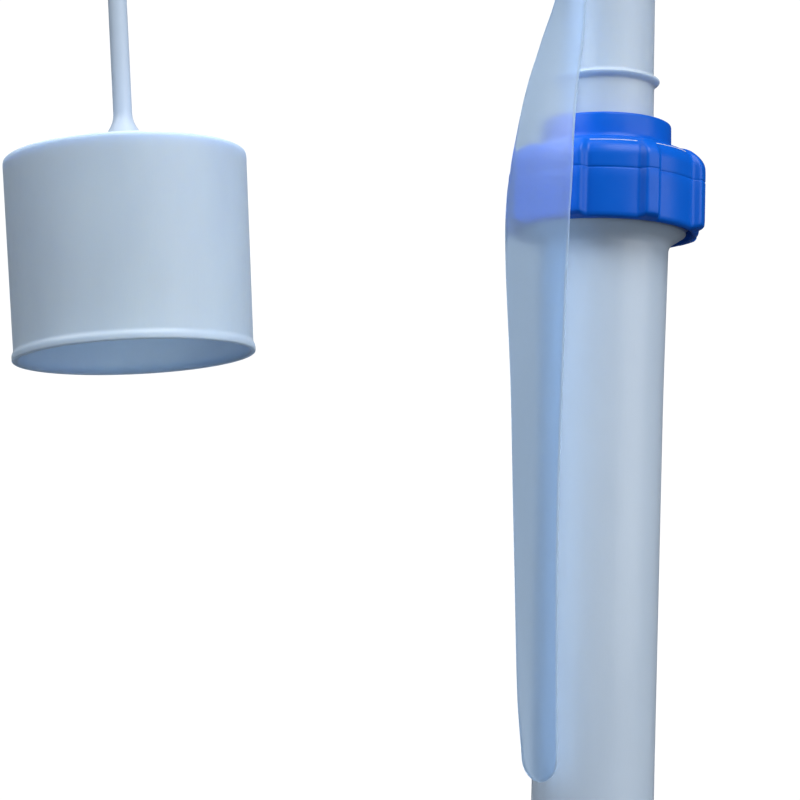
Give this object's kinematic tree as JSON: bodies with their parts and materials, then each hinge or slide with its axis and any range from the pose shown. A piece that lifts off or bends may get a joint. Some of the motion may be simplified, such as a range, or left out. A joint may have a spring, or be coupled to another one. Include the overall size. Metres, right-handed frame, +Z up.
{
  "type": "urine bottle",
  "caption": "Standing urine bottle with a long neck tube, ribbed union nuts, a spout with a wide mouth, a hanging rail tongue and a deep cap on a round strap.",
  "frame": {"origin": "centre of the bottle's flat base", "axes": "+Z up along the neck tube's axis, the cap hangs on the -X side, the rail tongue hangs towards -X and -Y"},
  "size_m": [0.2017, 0.105, 0.494],
  "materials": {
    "milky_body": "satin, milky translucent",
    "milky_tube": "satin, milky translucent",
    "milky_spout": "satin, milky translucent",
    "milky_inner": "satin, milky translucent",
    "milky_tongue": "satin, translucent",
    "milky_strap": "satin, milky translucent",
    "milky_cap": "satin, milky translucent",
    "blue_nut": "semi-gloss moulded",
    "white_slip": "smooth",
    "soft_seal": "soft matt",
    "pin_steel": "drawn wire"
  },
  "bodies": {
    "main": {"bottle": "milky_body", "spill_guard": "milky_inner", "base_gasket": "soft_seal", "neck_tube": "milky_tube", "union_seal": "soft_seal", "valve_seat": "milky_inner", "valve_pin": "pin_steel", "spout_tube": "milky_spout", "tongue_collar": "milky_tongue", "mouth_cup": "milky_body"},
    "base_slide": {"base_slip_ring": "white_slip"},
    "base_nut": {"base_nut": "blue_nut"},
    "union_slide": {"union_slip_ring": "white_slip"},
    "union_nut": {"union_nut": "blue_nut"},
    "flap": {"valve_flap": "soft_seal"},
    "tongue": {"rail_tongue": "milky_tongue"},
    "strap_ring": {"strap_ring": "milky_strap"},
    "strap_arm": {"strap_arm": "milky_strap"},
    "strap_drop": {"strap_drop": "milky_strap"},
    "cap": {"cap": "milky_cap", "cap_seal": "soft_seal"}
  },
  "joints": [
    {"name": "base_nut_lift", "type": "slide", "parent": "main", "child": "base_slide", "axis": [0, 0, 1], "range_m": [0, 0.003]},
    {"name": "base_nut_turn", "type": "hinge", "parent": "base_slide", "child": "base_nut", "pos_m": [0, 0, 0.155], "axis": [0, 0, 1], "range_deg": [0, 360]},
    {"name": "union_nut_lift", "type": "slide", "parent": "main", "child": "union_slide", "axis": [0, 0, 1], "range_m": [0, 0.003]},
    {"name": "union_nut_turn", "type": "hinge", "parent": "union_slide", "child": "union_nut", "pos_m": [0, 0, 0.344], "axis": [0, 0, 1], "range_deg": [0, 360]},
    {"name": "flap_swing", "type": "hinge", "parent": "main", "child": "flap", "pos_m": [0, 0.0118, 0.3567], "axis": [1, 0, 0], "range_deg": [0, 70], "stiffness_Nm_per_rad": 0.001, "springref_deg": -6.88},
    {"name": "tongue_flex", "type": "hinge", "parent": "main", "child": "tongue", "pos_m": [-0.0101, -0.01162, 0.41], "axis": [-0.7547, 0.6561, 0], "range_deg": [0, 12], "stiffness_Nm_per_rad": 0.5, "springref_deg": -1.15},
    {"name": "ring_swivel", "type": "hinge", "parent": "main", "child": "strap_ring", "pos_m": [0, 0, 0.418], "axis": [0, 0, 1], "continuous": true},
    {"name": "strap_flex", "type": "hinge", "parent": "strap_ring", "child": "strap_arm", "pos_m": [-0.018, 0, 0.418], "axis": [0, 1, 0], "range_deg": [-8, 18], "stiffness_Nm_per_rad": 0.3, "springref_deg": 4.01},
    {"name": "strap_bend", "type": "hinge", "parent": "strap_arm", "child": "strap_drop", "pos_m": [-0.11089, 0, 0.42668], "axis": [0, 1, 0], "range_deg": [-10, 40], "stiffness_Nm_per_rad": 0.04, "springref_deg": 2.29},
    {"name": "cap_swing", "type": "hinge", "parent": "strap_drop", "child": "cap", "pos_m": [-0.11976, 0, 0.36368], "axis": [0, 1, 0], "range_deg": [-20, 20], "stiffness_Nm_per_rad": 0.01, "springref_deg": -2.69}
  ],
  "couplings": [
    {"joint": "base_nut_turn", "follows": "base_nut_lift", "rad_per_m": 2094.4},
    {"joint": "union_nut_turn", "follows": "union_nut_lift", "rad_per_m": 2094.4}
  ]
}
